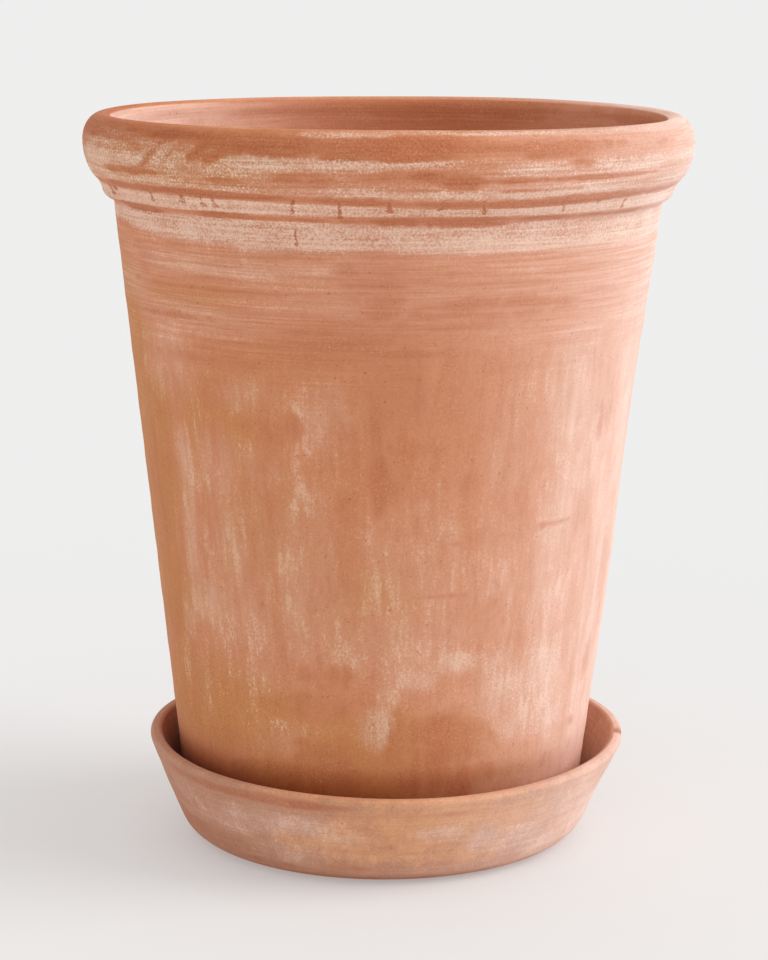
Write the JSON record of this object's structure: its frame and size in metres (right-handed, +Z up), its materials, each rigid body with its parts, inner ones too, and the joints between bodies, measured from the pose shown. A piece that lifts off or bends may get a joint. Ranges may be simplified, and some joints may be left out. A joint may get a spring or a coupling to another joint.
{
  "type": "plant pot with saucer",
  "caption": "Tall flared terracotta plant pot with a rolled rim, a raised band below it and a drain hole, standing in a shallow flared drip saucer that catches the water.",
  "frame": {"origin": "centre of the saucer's underside, on the surface that the planter stands on", "axes": "+Z is up, along the axis that both pieces are turned about; the two pieces are turned shapes, so X and Y have no features"},
  "size_m": [0.42, 0.42, 0.5091],
  "materials": {
    "pot_clay": "matte",
    "saucer_clay": "matte"
  },
  "bodies": {
    "saucer": {"saucer": "saucer_clay"},
    "pot": {"pot": "pot_clay"}
  },
  "joints": [
    {"name": "pot_lift", "type": "slide", "parent": "saucer", "child": "pot", "axis": [0, 0, 1], "range_m": [0, 0.12]}
  ]
}
